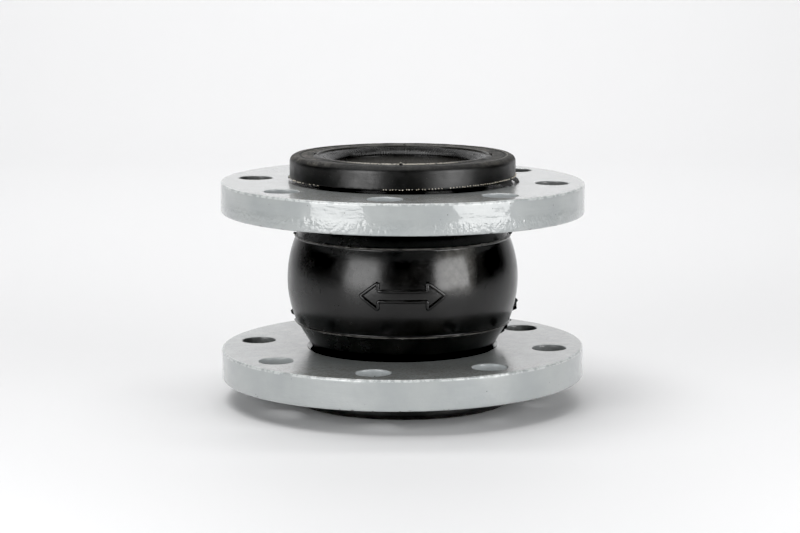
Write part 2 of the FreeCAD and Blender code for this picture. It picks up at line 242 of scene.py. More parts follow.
class Nodes:
    """Builds one material's node tree."""

    def __init__(self, name):
        self.material = bpy.data.materials.new(name)
        self.material.use_nodes = True
        self.tree = self.material.node_tree
        self.tree.nodes.clear()
        self.shader = self.add("ShaderNodeBsdfPrincipled")
        output = self.add("ShaderNodeOutputMaterial")
        self.tree.links.new(self.shader.outputs["BSDF"], output.inputs["Surface"])
        self.place = self.add("ShaderNodeTexCoord").outputs["Object"]

    def add(self, kind, **settings):
        node = self.tree.nodes.new(kind)
        for key, value in settings.items():
            setattr(node, key, value)
        return node

    def feed(self, socket, value):
        """Links an output to a socket, or sets the socket's own value."""
        if isinstance(value, bpy.types.NodeSocket):
            self.tree.links.new(value, socket)
        else:
            socket.default_value = value

    def feed_colour(self, socket, colour):
        """Links a colour output to a socket, or sets the socket from three numbers."""
        is_output = isinstance(colour, bpy.types.NodeSocket)
        self.feed(socket, colour if is_output else (*colour, 1))

    def maths(self, operation, first, second=0.0, clamp=False):
        node = self.add("ShaderNodeMath", operation=operation, use_clamp=clamp)
        self.feed(node.inputs[0], first)
        self.feed(node.inputs[1], second)
        return node.outputs[0]

    def plus(self, first, second, clamp=False):
        return self.maths("ADD", first, second, clamp=clamp)

    def minus(self, first, second):
        return self.maths("SUBTRACT", first, second)

    def times(self, first, second):
        return self.maths("MULTIPLY", first, second)

    def size_of(self, value):
        """The value without its sign."""
        return self.maths("ABSOLUTE", value)

    def parts(self):
        """The X, Y and Z of a point on the object."""
        node = self.add("ShaderNodeSeparateXYZ")
        self.feed(node.inputs[0], self.place)
        return node.outputs

    def facing(self):
        """The X, Y and Z of the direction that the surface faces."""
        node = self.add("ShaderNodeSeparateXYZ")
        self.feed(node.inputs[0], self.add("ShaderNodeTexCoord").outputs["Normal"])
        return node.outputs

    def radius(self):
        """The distance from the pipe axis."""
        x, y, _ = self.parts()
        squares = self.plus(self.times(x, x), self.times(y, y))
        return self.maths("SQRT", squares)

    def stretched(self, scale):
        """The object's coordinates, scaled along each axis."""
        node = self.add("ShaderNodeMapping")
        self.feed(node.inputs["Vector"], self.place)
        node.inputs["Scale"].default_value = scale
        return node.outputs[0]

    def cloud(self, size, detail=3.0, roughness=0.55, vector=None, lift=0.0):
        """Noise whose lumps are about `size` metres."""
        node = self.add("ShaderNodeTexNoise", noise_dimensions="4D")
        self.feed(node.inputs["Vector"], vector or self.place)
        node.inputs["W"].default_value = lift
        node.inputs["Scale"].default_value = 1 / size
        node.inputs["Detail"].default_value = detail
        node.inputs["Roughness"].default_value = roughness
        return node.outputs["Fac"]

    def cells(self, size, vector=None):
        """Distance to the nearest of scattered points about `size` metres apart."""
        node = self.add("ShaderNodeTexVoronoi")
        self.feed(node.inputs["Vector"], vector or self.place)
        node.inputs["Scale"].default_value = 1 / size
        return node.outputs["Distance"]

    def ramp(self, value, low, high, to_low=0.0, to_high=1.0):
        """Maps low..high smoothly to to_low..to_high, and holds beyond them."""
        node = self.add("ShaderNodeMapRange", interpolation_type="SMOOTHSTEP")
        self.feed(node.inputs["Value"], value)
        node.inputs["From Min"].default_value = low
        node.inputs["From Max"].default_value = high
        node.inputs["To Min"].default_value = to_low
        node.inputs["To Max"].default_value = to_high
        return node.outputs["Result"]

    def between(self, share, first, second):
        """The number `share` of the way from first to second."""
        return self.plus(self.times(share, second - first), first)

    def mix(self, share, first, second):
        """The colour `share` of the way from first to second."""
        node = self.add("ShaderNodeMix", data_type="RGBA")
        self.feed(node.inputs[0], share)
        self.feed_colour(node.inputs[6], first)
        self.feed_colour(node.inputs[7], second)
        return node.outputs[2]

    def bump(self, height, depth, strength=1.0, after=None):
        """A bump whose full height difference is `depth` metres."""
        node = self.add("ShaderNodeBump")
        node.inputs["Strength"].default_value = strength
        node.inputs["Distance"].default_value = depth
        self.feed(node.inputs["Height"], height)
        if after is not None:
            self.feed(node.inputs["Normal"], after)
        return node.outputs[0]

    def finish(self, colour, roughness, normal, **fixed):
        """Feeds the shader. fixed gives sockets that have one value all over. A clear coat takes the same
        bumps as the paint below it."""
        self.feed_colour(self.shader.inputs["Base Color"], colour)
        self.feed(self.shader.inputs["Roughness"], roughness)
        if normal is not None:
            self.feed(self.shader.inputs["Normal"], normal)
        if "Coat_Weight" in fixed:
            self.feed(self.shader.inputs["Coat Normal"], normal)
        for socket, value in fixed.items():
            self.shader.inputs[socket.replace("_", " ")].default_value = value
        return self.material


# ------------------------ materials

# Colours of the paint
PAINT_DARKER = (0.305, 0.326, 0.329)
PAINT_LIGHTER = (0.355, 0.373, 0.371)
# A highlight painted along the rims' rounded upper edge
PAINTED_RIM_HIGHLIGHT = (0.66, 0.68, 0.67)
# Light and shade painted on the bolt holes' walls: lit at the front, shaded at the back
PAINTED_LIT_WALL = (0.48, 0.51, 0.52)
PAINTED_SHADED_WALL = (0.10, 0.103, 0.10)
GRIME = (0.21, 0.195, 0.165)
DIRT = (0.04, 0.037, 0.033)
# Shade painted on the upper flange's top under its ring
PAINTED_SHADE_UNDER_RING = (0.008, 0.008, 0.008)
# Colours of the rubber
BLACK_RUBBER = (0.0022, 0.0022, 0.0021)
# Dust and a painted highlight on the bulge's upper right
BULGE_DUST_AND_HIGHLIGHT = (0.078, 0.075, 0.069)
# A highlight painted on the seam beads
PAINTED_BEAD_HIGHLIGHT = (0.10, 0.097, 0.09)
FACE_DUST = (0.10, 0.093, 0.079)
# Dust and a painted highlight on the ring's crest
CREST_DUST_AND_HIGHLIGHT = (0.36, 0.335, 0.28)
GROOVE_SHADE = (0.003, 0.003, 0.003)
WORN_RIDGE = (0.22, 0.21, 0.185)
CLOTH_MARKS = (0.038, 0.036, 0.033)
BORE_GREY = (0.19, 0.184, 0.173)
COVER_DUST = (0.007, 0.0068, 0.0062)
COVER_SPECKS = (0.05, 0.047, 0.042)
SIDE_DUST = (0.007, 0.0067, 0.0061)
FACE_SPECKS = (0.12, 0.113, 0.1)
# The darkest and lightest of a piece, mixed in soft patches
LINER_TONES = ((0.003, 0.003, 0.003), (0.009, 0.0086, 0.008))
FILLER_TONES = ((0.004, 0.004, 0.004), (0.012, 0.0115, 0.011))
CORD_TONES = ((0.42, 0.37, 0.28), (0.82, 0.77, 0.66))
STEEL_TONES = ((0.33, 0.31, 0.27), (0.5, 0.47, 0.41))


def flange_paint():
    """Glossy light grey paint with a dusty top, specks of dirt, chipped edges, and painted highlight and
    shade.
    """
    n = Nodes("flange_paint")
    above_face = height_in_flange(n)
    radius = n.radius()
    _, y, height = n.parts()
    up = n.facing()[2]
    is_upper = n.maths("GREATER_THAN", height, MIDDLE)

    tone = n.ramp(n.cloud(22 * MM, detail=4), 0.3, 0.7)
    base = n.mix(tone, PAINT_DARKER, PAINT_LIGHTER)
    flecks = n.ramp(n.cloud(1.3 * MM, detail=5, roughness=0.65, lift=21), 0.46, 0.57)
    grime = n.times(n.ramp(up, 0.8, 0.95), flecks)
    near_front = n.ramp(y, -50 * MM, -70 * MM, 0.3, 0.75)
    base = n.mix(n.times(grime, near_front), base, GRIME)
    # Shade painted near-black on the upper flange's top under the ring, where its shadow falls in the gap
    under_ring = n.times(is_upper, n.ramp(radius, 62.2 * MM, 60.6 * MM))
    base = n.mix(n.times(under_ring, 0.93), base, PAINTED_SHADE_UNDER_RING)
    base = hole_walls_painted_light_and_shade(n, base, radius, y, up)
    # A highlight painted in patches along the rim's rounded upper edge
    on_rim = n.ramp(radius, FLANGE_RADIUS - 1.3 * MM, FLANGE_RADIUS - 1.0 * MM)
    near_top = n.ramp(above_face, FLANGE_THICKNESS - 1.5 * MM, FLANGE_THICKNESS - 1.1 * MM)
    rim_highlight = n.times(n.times(on_rim, near_top), n.ramp(n.cloud(2.4 * MM, detail=4, lift=31), 0.42, 0.56))
    base = n.mix(n.times(rim_highlight, 0.6), base, PAINTED_RIM_HIGHLIGHT)

    specks = n.ramp(n.cells(4.5 * MM), 0.085, 0.05)
    speck = n.times(specks, n.ramp(n.cloud(9 * MM, lift=3), 0.44, 0.54))
    rim = n.ramp(radius, FLANGE_RADIUS - 1.6 * MM, FLANGE_RADIUS - 0.4 * MM)
    near_edge = n.times(rim, n.ramp(above_face, 0.35 * MM, 1.1 * MM, 1, 0))
    chips = n.times(near_edge, n.ramp(n.cloud(2.2 * MM, lift=7), 0.60, 0.65))
    dirty = n.plus(speck, chips, clamp=True)
    colour = n.mix(n.times(dirty, 0.8), base, DIRT)
    roughness = n.ramp(n.cloud(6 * MM, lift=2), 0.3, 0.7, 0.30, 0.42)
    uneven = paint_bumps(n, above_face, radius, up, is_upper)
    return n.finish(colour, n.plus(roughness, n.times(dirty, 0.3)), uneven,
                    IOR=1.5, Coat_Weight=0.95, Coat_Roughness=0.04)


def paint_bumps(n, above_face, radius, up, is_upper):
    """The paint's unevenness: orange peel, ripples low on the rims and thickest on the upper one, runs along
    the rims, a gritty top and slow waves."""
    peel = n.bump(n.cloud(2.6 * MM, detail=1.0), 0.03 * MM, 0.6)
    side = n.ramp(radius, FLANGE_RADIUS - 1.2 * MM, FLANGE_RADIUS - 0.6 * MM)
    low_share = n.times(side, n.ramp(above_face, 4.5 * MM, 8.5 * MM, 1.0, 0.08))
    low_share = n.times(low_share, n.between(is_upper, 0.3, 1.0))
    ripple_height = n.times(n.cloud(1.9 * MM, detail=1.0, roughness=0.5, lift=5), low_share)
    ripples = n.bump(ripple_height, 0.45 * MM, 1.0, after=peel)
    runs = n.cloud(1.7 * MM, detail=2.0, roughness=0.5, vector=n.stretched((0.16, 0.16, 1)), lift=12)
    streaks = n.bump(n.times(runs, side), 0.09 * MM, 1.0, after=ripples)
    grit = n.cloud(1.4 * MM, detail=4.0, roughness=0.6, lift=27)
    gritty = n.bump(n.times(n.ramp(up, 0.9, 0.98), grit), 0.10 * MM, 1.0, after=streaks)
    return n.bump(n.cloud(11 * MM, detail=1.0, lift=9), 0.15 * MM, 0.7, after=gritty)


def hole_walls_painted_light_and_shade(n, base, radius, y, up):
    """The paint's colour, with light and shade painted on the walls of the bolt holes: pale at the front and
    darker towards the back.
    """
    upright = n.ramp(n.size_of(up), 0.9, 0.5)
    inside = n.ramp(radius, FLANGE_RADIUS - 4 * MM, FLANGE_RADIUS - 6 * MM)
    patchy = n.ramp(n.cloud(3 * MM, lift=15), 0.3, 0.6, 0.7, 1.0)
    walls = n.times(n.times(upright, inside), patchy)
    # Painted light and shade: the walls go from pale at the front to dark at the back
    coat = n.mix(n.ramp(y, -66 * MM, 10 * MM), PAINTED_LIT_WALL, PAINTED_SHADED_WALL)
    return n.mix(n.times(walls, 0.9), base, coat)


def height_in_flange(n):
    """How far a point of either flange is above the flange's lower face."""
    x, _, height = n.parts()
    is_upper = n.maths("GREATER_THAN", height, MIDDLE)
    slope = n.between(is_upper, math.tan(LOWER_TILT), math.tan(UPPER_TILT))
    middle = n.between(is_upper, LOWER_CENTRE.z, UPPER_CENTRE.z)
    level = n.plus(height, n.times(x, slope))
    return n.plus(n.minus(level, middle), FLANGE_THICKNESS / 2)


def cover_rubber():
    """Black moulded rubber with a soft shine: smudges of dust, a grey patch of dust and painted highlight on
    its upper right front, specks, highlights painted along the seam beads, and crumbs of flash at its left
    end."""
    n = Nodes("cover_rubber")
    smudge = n.ramp(n.cloud(17 * MM, detail=5, roughness=0.6), 0.42, 0.66)
    film = n.ramp(n.cloud(2.0 * MM, detail=3, lift=4), 0.45, 0.62)
    dust = n.times(smudge, n.plus(n.times(film, 0.6), 0.4))
    base = n.mix(dust, BLACK_RUBBER, COVER_DUST)

    x, _, height = n.parts()
    # A grey patch on the bulge's upper right front, partly dust and partly a painted highlight
    high_up = n.ramp(height, MIDDLE - 4 * MM, MIDDLE + 6 * MM)
    share_by_place = n.times(n.ramp(x, 14 * MM, 26 * MM), high_up)
    share_by_place = n.times(share_by_place, n.ramp(x, 40 * MM, 33 * MM))
    share_by_place = n.times(share_by_place, n.ramp(n.cloud(3.5 * MM, detail=5, lift=14), 0.3, 0.7, 0.4, 1.0))
    on_bulge_face = n.ramp(height, UPPER_SEAM, UPPER_SEAM - 2 * MM)
    base = n.mix(n.times(share_by_place, on_bulge_face), base, BULGE_DUST_AND_HIGHLIGHT)

    speck_patches = n.ramp(n.cloud(13 * MM, lift=8), 0.54, 0.64)
    specks = n.times(n.ramp(n.cells(2.6 * MM), 0.13, 0.06), speck_patches)
    colour = n.mix(n.times(specks, 0.35), base, COVER_SPECKS)
    # Highlights painted in patches along the seam beads
    from_middle = n.size_of(n.minus(height, MIDDLE))
    off_bead = n.size_of(n.minus(from_middle, SEAM_OFF - 0.6 * MM))
    bead_highlight_patches = n.ramp(n.cloud(5 * MM, detail=4, lift=23), 0.35, 0.6, 0.3, 1.0)
    bead_highlight = n.times(n.ramp(off_bead, 0.55 * MM, 0.25 * MM), bead_highlight_patches)
    colour = n.mix(n.times(bead_highlight, 0.8), colour, PAINTED_BEAD_HIGHLIGHT)

    worn_smooth = n.ramp(x, -25 * MM, 25 * MM, 0.01, -0.06)
    shine = n.ramp(n.cloud(9 * MM, detail=5, lift=1), 0.3, 0.72, 0.20, 0.28)
    roughness = n.plus(n.plus(worn_smooth, shine), n.times(dust, 0.04))
    grain = n.bump(n.cloud(0.55 * MM, detail=2), 0.03 * MM, 0.35)
    pits = n.bump(n.ramp(n.cells(1.9 * MM), 0.12, 0.22), 0.06 * MM, 0.25, after=grain)
    left_end = n.times(n.ramp(x, -60 * MM, -64 * MM), n.ramp(n.cloud(9 * MM, lift=17), 0.4, 0.5))
    crumbs = n.bump(n.times(n.cells(2.4 * MM), left_end), 0.6 * MM, 0.8, after=pits)
    sway = n.bump(n.cloud(12 * MM, detail=2, lift=6), 0.35 * MM, 0.35, after=crumbs)
    return n.finish(colour, roughness, sway, IOR=1.46)


def face_rubber():
    """The bead ring's rubber: a faint shine on its side, and a dusty matt face with a dark groove, a worn
    ridge beside it and a crest paled at the front by dust and a painted highlight."""
    n = Nodes("face_rubber")
    flat = n.ramp(n.size_of(n.facing()[2]), 0.2, 0.8)
    x, y, _ = n.parts()
    radius = n.radius()
    patches = n.cloud(7 * MM, detail=6, roughness=0.65)
    streaks = n.cloud(1.1 * MM, detail=3, lift=3)

    share_by_place = n.ramp(n.minus(n.times(x, 0.6), y), -25 * MM, 55 * MM, 1.0, 0.5)
    crest = n.ramp(radius, CREST_RADIUS + 1.6 * MM, CREST_RADIUS + 1.1 * MM)
    mottle = n.plus(n.times(patches, 0.6), n.times(streaks, 0.4))
    dust = n.times(flat, n.ramp(mottle, 0.44, 0.60, 0.08, 1.0))
    dust = n.times(dust, n.times(share_by_place, n.minus(1.0, crest)))
    dust = n.times(dust, n.ramp(y, -38 * MM, -50 * MM, 1.0, 0.3))
    side = n.mix(n.ramp(patches, 0.4, 0.7), BLACK_RUBBER, SIDE_DUST)
    colour = n.mix(dust, side, FACE_DUST)

    # The crest's top paled mostly at the front, partly by dust and partly by a painted highlight
    crest_top = n.ramp(radius, CREST_RADIUS + 0.95 * MM, CREST_RADIUS + 0.6 * MM)
    crest_dust_and_highlight = n.times(crest_top, n.ramp(y, -32 * MM, -45 * MM, 0.08, 0.9))
    crest_dust_and_highlight = n.times(crest_dust_and_highlight, n.ramp(streaks, 0.38, 0.52, 0.15, 1.0))
    colour = n.mix(crest_dust_and_highlight, colour, CREST_DUST_AND_HIGHLIGHT)
    off_groove = n.minus(radius, GROOVE_RADIUS)
    groove = n.times(flat, n.ramp(n.size_of(off_groove), 0.8 * MM, 0.5 * MM))
    colour = n.mix(n.times(groove, 0.8), colour, GROOVE_SHADE)
    off_ridge = n.size_of(n.minus(off_groove, 1.3 * MM))
    ridge = n.times(n.ramp(off_ridge, 0.5 * MM, 0.2 * MM), n.ramp(streaks, 0.35, 0.55, 0.3, 1.0))
    worn_ridge = n.times(ridge, n.ramp(x, 10 * MM, 50 * MM, 0.1, 0.7))
    colour = n.mix(n.times(worn_ridge, flat), colour, WORN_RIDGE)
    speck_patches = n.ramp(n.cloud(6 * MM, lift=8), 0.5, 0.6)
    specks = n.times(n.ramp(n.cells(1.7 * MM), 0.16, 0.08), speck_patches)
    colour = n.mix(n.times(specks, 0.4), colour, FACE_SPECKS)

    matt = n.times(flat, n.minus(0.4, n.times(crest, 0.3)))
    roughness = n.plus(n.ramp(n.cloud(5 * MM, detail=4, lift=2), 0.3, 0.7, 0.28, 0.38), matt)
    grain = n.bump(n.cloud(0.6 * MM, detail=3), 0.08 * MM, 0.6)
    long_lumps = n.cloud(3.2 * MM, detail=3, vector=n.stretched((1, 1, 3)), lift=5)
    uneven = n.bump(long_lumps, 0.14 * MM, 0.4, after=grain)
    return n.finish(colour, roughness, uneven, IOR=1.46)


CLOTH_TURNS = 170.0
CLOTH_RISE = 2400.0


def liner_rubber():
    """The lining: rubber that keeps the marks of the cloth it was pressed against, black and shiny in the
    funnel and greyer in the bore."""
    n = Nodes("liner_rubber")
    x, y, height = n.parts()
    round_bore = n.times(n.maths("ARCTAN2", y, x), CLOTH_TURNS)
    along_bore = n.times(height, CLOTH_RISE)
    warp = n.maths("SINE", n.plus(round_bore, along_bore))
    weft = n.maths("SINE", n.minus(round_bore, along_bore))
    worn = n.ramp(n.cloud(8 * MM, detail=3), 0.35, 0.65)
    marks = n.times(n.times(n.plus(warp, weft), 0.25), worn)

    patches = n.ramp(n.cloud(6 * MM, detail=5, lift=2), 0.35, 0.7)
    base = n.mix(patches, *LINER_TONES)
    colour = n.mix(n.times(n.ramp(marks, 0.28, 0.48), 0.5), base, CLOTH_MARKS)
    from_middle = n.size_of(n.minus(height, MIDDLE))
    funnel = n.ramp(from_middle, MIDDLE - TURN_DEPTH, MIDDLE - FUNNEL_DEPTH)
    colour = n.mix(funnel, n.mix(0.75, colour, BORE_GREY), colour)

    roughness = n.ramp(n.cloud(3 * MM, lift=1), 0.3, 0.7, 0.17, 0.29)
    roughness = n.plus(roughness, n.times(funnel, 0.05))
    weave = n.bump(marks, 0.25 * MM, 0.7)
    grain = n.bump(n.cloud(0.7 * MM, detail=3), 0.05 * MM, 0.4, after=weave)
    return n.finish(colour, roughness, grain, IOR=1.3)


def filler_rubber():
    """Hard black rubber inside the bead, and the flash round its ring."""
    n = Nodes("filler_rubber")
    colour = n.mix(n.cloud(4 * MM), *FILLER_TONES)
    roughness = n.ramp(n.cloud(2 * MM, lift=2), 0.3, 0.7, 0.5, 0.65)
    return n.finish(colour, roughness, n.bump(n.cloud(0.5 * MM), 0.04 * MM, 0.5))


def cord_fabric():
    """Off-white rubberised nylon cord."""
    n = Nodes("cord_fabric")
    shade = n.ramp(n.cloud(1.4 * MM, detail=4), 0.35, 0.65)
    colour = n.mix(shade, *CORD_TONES)
    roughness = n.ramp(n.cloud(2 * MM, lift=2), 0.3, 0.7, 0.75, 0.9)
    return n.finish(colour, roughness, n.bump(n.cloud(0.25 * MM), 0.06 * MM, 0.7), Sheen_Weight=0.3)


def bead_steel():
    """Drawn steel wire."""
    n = Nodes("bead_steel")
    colour = n.mix(n.cloud(5 * MM), *STEEL_TONES)
    roughness = n.ramp(n.cloud(3 * MM, lift=2), 0.3, 0.7, 0.25, 0.4)
    scratches = n.bump(n.cloud(0.4 * MM, vector=n.stretched((1, 1, 6))), 0.02 * MM, 0.5)
    return n.finish(colour, roughness, scratches, Metallic=1.0)


PAINT = flange_paint()
COVER = cover_rubber()
FACE = face_rubber()
LINER = liner_rubber()
FILLER = filler_rubber()
CORD = cord_fabric()
STEEL = bead_steel()


# ------------------------ steel flanges

# How many steps each wall is turned in, and how far it wanders
RIM_TURNS = 480
BORE_TURNS = 240
HOLE_TURNS = 72
RIM_UNEVENNESS = 0.14 * MM
BORE_UNEVENNESS = 0.05 * MM
HOLE_UNEVENNESS = 0.26 * MM
# The cosine past which a face counts as part of the flange's flat top or bottom
LEVEL_FACE = 0.9999


def rounded_wall(low, high, low_corner, high_corner, outwards):
    """The section of a wall round a flange's rim, bore or hole, from its top to its bottom, as (how far
    the point is set back into the steel, height). A corner is (size, "round") or (size, "flat").
    outwards is 1 for the rim, and -1 for a bore or a hole, whose steel is outside it."""
    section = []
    for corner, end, way in ((high_corner, high, -1), (low_corner, low, 1)):
        size, form = corner
        points = []
        count = 5 if form == "round" else 1
        for k in range(count + 1):
            turn = math.pi / 2 * k / count
            back = size * (1 - math.sin(turn)) if form == "round" else size * (1 - k / count)
            drop = size * (1 - math.cos(turn)) if form == "round" else size * k / count
            points.append((-outwards * back, end + way * drop))
        section.append(points)
    upper, lower = section
    straight = steps(upper[-1][1], lower[-1][1], 1.3 * MM)[1:-1]
    return upper + [(0, height) for height in straight] + lower[::-1]


def wall_loops(build, centre, radius, section, turns, seed, unevenness):
    """Adds the vertices of a wall, ring by ring. The first and last rings stay flat and round."""
    rings = []
    last = len(section) - 1
    for row, (back, height) in enumerate(section):
        free = min(row, last - row, 2) / 2
        ring = []
        for step in range(turns):
            angle = 2 * math.pi * step / turns
            point = centre + on_axis(radius + back, angle, height)
            sway = noise_at(point, 6 * MM, seed) * 0.6 + noise_at(point, 2.2 * MM, seed + 4) * 0.4
            out = unevenness * free * sway
            up = unevenness * free * 0.8 * noise_at(point, 4 * MM, seed + 9)
            ring.append(build.verts.new(point + on_axis(out, angle, up)))
        rings.append(ring)
    for high, low in zip(rings, rings[1:]):
        for step in range(turns):
            after = (step + 1) % turns
            build.faces.new((high[step], high[after], low[after], low[step]))
    return rings[0], rings[-1]


def loop_edges(build, ring):
    """The edges round one ring of vertices."""
    found = []
    for first, second in zip(ring, ring[1:] + ring[:1]):
        found.append(build.edges.get((first, second)) or build.edges.new((first, second)))
    return found


def steel_flange(name, node, centre, tilt, turn, bulge_above, seed):
    """A painted flange with rounded edges, bolt holes, and a bore chamfered towards the bulge, which is above
    it or below it."""
    low, high = -FLANGE_THICKNESS / 2, FLANGE_THICKNESS / 2
    rim_corner = (1.1 * MM, "round")
    hole_corner = (0.7 * MM, "round")
    bore_corners = [(FLANGE_CHAMFER, "flat"), (0.5 * MM, "round")]
    if bulge_above:
        bore_corners.reverse()
    build = bmesh.new()
    axis = Vector((0, 0, 0))
    rim = rounded_wall(low, high, rim_corner, rim_corner, 1)
    bore = rounded_wall(low, high, *bore_corners, -1)
    hole = rounded_wall(low, high, hole_corner, hole_corner, -1)
    walls = [
        wall_loops(build, axis, FLANGE_RADIUS, rim, RIM_TURNS, seed, RIM_UNEVENNESS),
        wall_loops(build, axis, FLANGE_BORE, bore, BORE_TURNS, seed + 1, BORE_UNEVENNESS),
    ]
    for number in range(BOLT_COUNT):
        middle = on_axis(BOLT_CIRCLE, turn + 2 * math.pi * number / BOLT_COUNT, 0)
        hole_seed = seed + 2 + number
        walls.append(wall_loops(build, middle, BOLT_HOLE, hole, HOLE_TURNS, hole_seed, HOLE_UNEVENNESS))
    for side in range(2):
        edges = [edge for wall in walls for edge in loop_edges(build, wall[side])]
        bmesh.ops.triangle_fill(build, edges=edges, use_beauty=True)
    bmesh.ops.recalc_face_normals(build, faces=build.faces)
    build.transform(Matrix.Translation(centre) @ Matrix.Rotation(tilt, 4, "Y"))
    plate = new_piece(name, build, PAINT, crease=38)
    upright = Matrix.Rotation(tilt, 3, "Y") @ Vector((0, 0, 1))
    # The flat faces are shaded flat, so that the glossy paint mirrors evenly over their large triangles
    for face in plate.data.polygons:
        if abs(face.normal.dot(upright)) > LEVEL_FACE:
            face.use_smooth = False
    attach(plate, node)
    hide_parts(node)


steel_flange("lower_flange_plate", "lower_flange", LOWER_CENTRE, LOWER_TILT, LOWER_TURN, True, seed=11.0)
steel_flange("upper_flange_plate", "upper_flange", UPPER_CENTRE, UPPER_TILT, UPPER_TURN, False, seed=37.0)


# ------------------------ bellows

SEAM_BEAD = 0.9 * MM
SEAM_BEAD_WIDTH = 0.55 * MM
SHOULDER_INSET = 0.3 * MM
COVER_TURNS = 360
LINER_TURNS = 240
# How many vents the mould has round a seam
VENT_COUNT = 8
VENT_STEP = 2 * math.pi / VENT_COUNT


def bulge_sway(point):
    """The slight unevenness of the moulded bulge, and the ragged height of its seam beads."""
    is_outer = wall_radius(point.z, COVER_WALL / 2) < math.hypot(point.x, point.y)
    if not is_outer:
        return 0, 0
    seam = LOWER_SEAM if point.z < MIDDLE else UPPER_SEAM
    inwards = abs(point.z - seam) - 1.1 * SEAM_BEAD_WIDTH
    bead = SEAM_BEAD * math.exp(-((inwards / SEAM_BEAD_WIDTH) ** 2))
    bead *= 0.95 + 0.25 * noise_at(point, 3.5 * MM, 2.0)
    fade = smooth(abs(point.z - seam), 0, 4 * MM)
    return bead + fade * 0.12 * MM * noise_at(point, 21 * MM, 5.0), 0


def wall_zone(low, high, outer_inset, inner_inset):
    """The closed outline of part of the wall, between two heights and two insets. Its outer rows are closer
    together near its ends, where the seam beads are."""
    end_rows = [0.25 * MM * k for k in range(8)]
    middle_rows = steps(low + 2 * MM, high - 2 * MM, 0.9 * MM)
    heights = [low + row for row in end_rows] + middle_rows + [high - row for row in reversed(end_rows)]
    outer = [(wall_radius(height, outer_inset), height) for height in heights]
    inner = [(wall_radius(height, inner_inset), height) for height in steps(high, low, 1.5 * MM)]
    return outer + inner


def cover_piece(name, low, high, inset, shift=None):
    """One zone of the cover."""
    outline = wall_zone(low, high, inset, COVER_WALL)
    piece = new_piece(name, turned(outline, COVER_TURNS, shift), COVER, crease=50)
    return piece


def blend_lower(piece):
    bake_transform(piece)


def blend_bulge(piece):
    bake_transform(piece)


def blend_upper(piece):
    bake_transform(piece)


bulge = cover_piece("cover_bulge", LOWER_SEAM, UPPER_SEAM, 0, bulge_sway)
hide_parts("outer_cover", "cord_ply_3", "cord_ply_4")
blend_bulge(bulge)
blend_lower(cover_piece("cover_lower_shoulder", COVER_END_DEPTH, LOWER_SEAM, SHOULDER_INSET))
blend_upper(cover_piece("cover_upper_shoulder", UPPER_SEAM, LENGTH - COVER_END_DEPTH, SHOULDER_INSET))


def lip_outline(upper):
    """The lining from a seam through the neck to the lip, as (radius, height)."""
    seam = UPPER_SEAM if upper else LOWER_SEAM
    sign = -1 if upper else 1
    face = LENGTH if upper else 0
    neck_inner = steps(seam, face + sign * (FUNNEL_DEPTH + 1 * MM), 1.2 * MM)
    neck_outer = steps(face + sign * TURN_DEPTH, seam, 1.2 * MM)
    inner = [(wall_radius(height, WALL), height) for height in neck_inner]
    funnel = [
        (BORE_RADIUS + 0.15 * MM, face + sign * (FUNNEL_DEPTH + 0.2 * MM)),
        (BORE_RADIUS + 0.7 * MM, face + sign * (FUNNEL_DEPTH - 0.45 * MM)),
        (BORE_RADIUS + 2.6 * MM, face + sign * (FUNNEL_DEPTH - 1.7 * MM)),
        (BORE_RADIUS + 4.6 * MM, face + sign * (FUNNEL_DEPTH - 2.9 * MM)),
        (LIP_RADIUS - 0.5 * MM, face + sign * (LIP_DEPTH + 0.1 * MM)),
        (LIP_RADIUS, face + sign * LIP_DEPTH),
        (LIP_RADIUS, face + sign * (LIP_DEPTH + LIP_THICKNESS)),
    ]
    outer = [(wall_radius(height, WALL - LINER_WALL), height) for height in neck_outer]
    return inner + funnel + outer


def liner_piece(name, outline):
    """One zone of the lining."""
    piece = new_piece(name, turned(outline, LINER_TURNS), LINER, crease=50)
    return piece


liner_bulge = liner_piece("liner_bulge", wall_zone(LOWER_SEAM, UPPER_SEAM, WALL - LINER_WALL, WALL))
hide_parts("inner_tube", "cord_ply_1", "cord_ply_2")
blend_bulge(liner_bulge)
blend_lower(liner_piece("liner_lower_neck", lip_outline(upper=False)))
blend_upper(liner_piece("liner_upper_neck", lip_outline(upper=True)))


def seam_vents(name, height, blend, seed):
    """The nubs that vent holes in the mould leave round a seam, just on the bulge's side of it."""
    rng = random.Random(seed)
    build = bmesh.new()
    for number in range(VENT_COUNT):
        angle = FRONT + number * VENT_STEP + rng.uniform(-0.02, 0.02)
        inwards = (MIDDLE - height) / SEAM_OFF * 0.5 * MM
        surface = on_axis(wall_radius(height, -0.4 * MM), angle, height + inwards)
        slope = 0.55 if height > MIDDLE else -0.55
        outwards = on_axis(1, angle, slope).normalized()
        lump(build, surface, outwards, rng.uniform(0.55, 0.8) * MM, rng.uniform(1.0, 1.8) * MM, rng)
    piece = new_piece(name, build, COVER, crease=50)
    blend(piece)


seam_vents("upper_seam_vents", UPPER_SEAM, blend_bulge, seed=4)
seam_vents("lower_seam_vents", LOWER_SEAM, blend_bulge, seed=9)


def bulge_pips():
    """Small trimmed pips round the middle of the bulge, three at every second vent."""
    rng = random.Random(21)
    build = bmesh.new()
    for number in range(1, VENT_COUNT, 2):
        angle = FRONT + number * VENT_STEP + rng.uniform(-0.03, 0.03)
        height = MIDDLE + rng.uniform(-1.0, 3.0) * MM
        for _ in range(3):
            near = angle + rng.uniform(-0.02, 0.02)
            level = height + rng.uniform(-1.4, 1.4) * MM
            surface = on_axis(wall_radius(level, 0), near, level)
            wide = rng.uniform(0.35, 0.6) * MM
            tall = rng.uniform(0.15, 0.35) * MM
            lump(build, surface, on_axis(1, near, 0), wide, tall, rng)
    piece = new_piece("bulge_pips", build, COVER, crease=50)
    blend_bulge(piece)


bulge_pips()


# ------------------------ raised mark

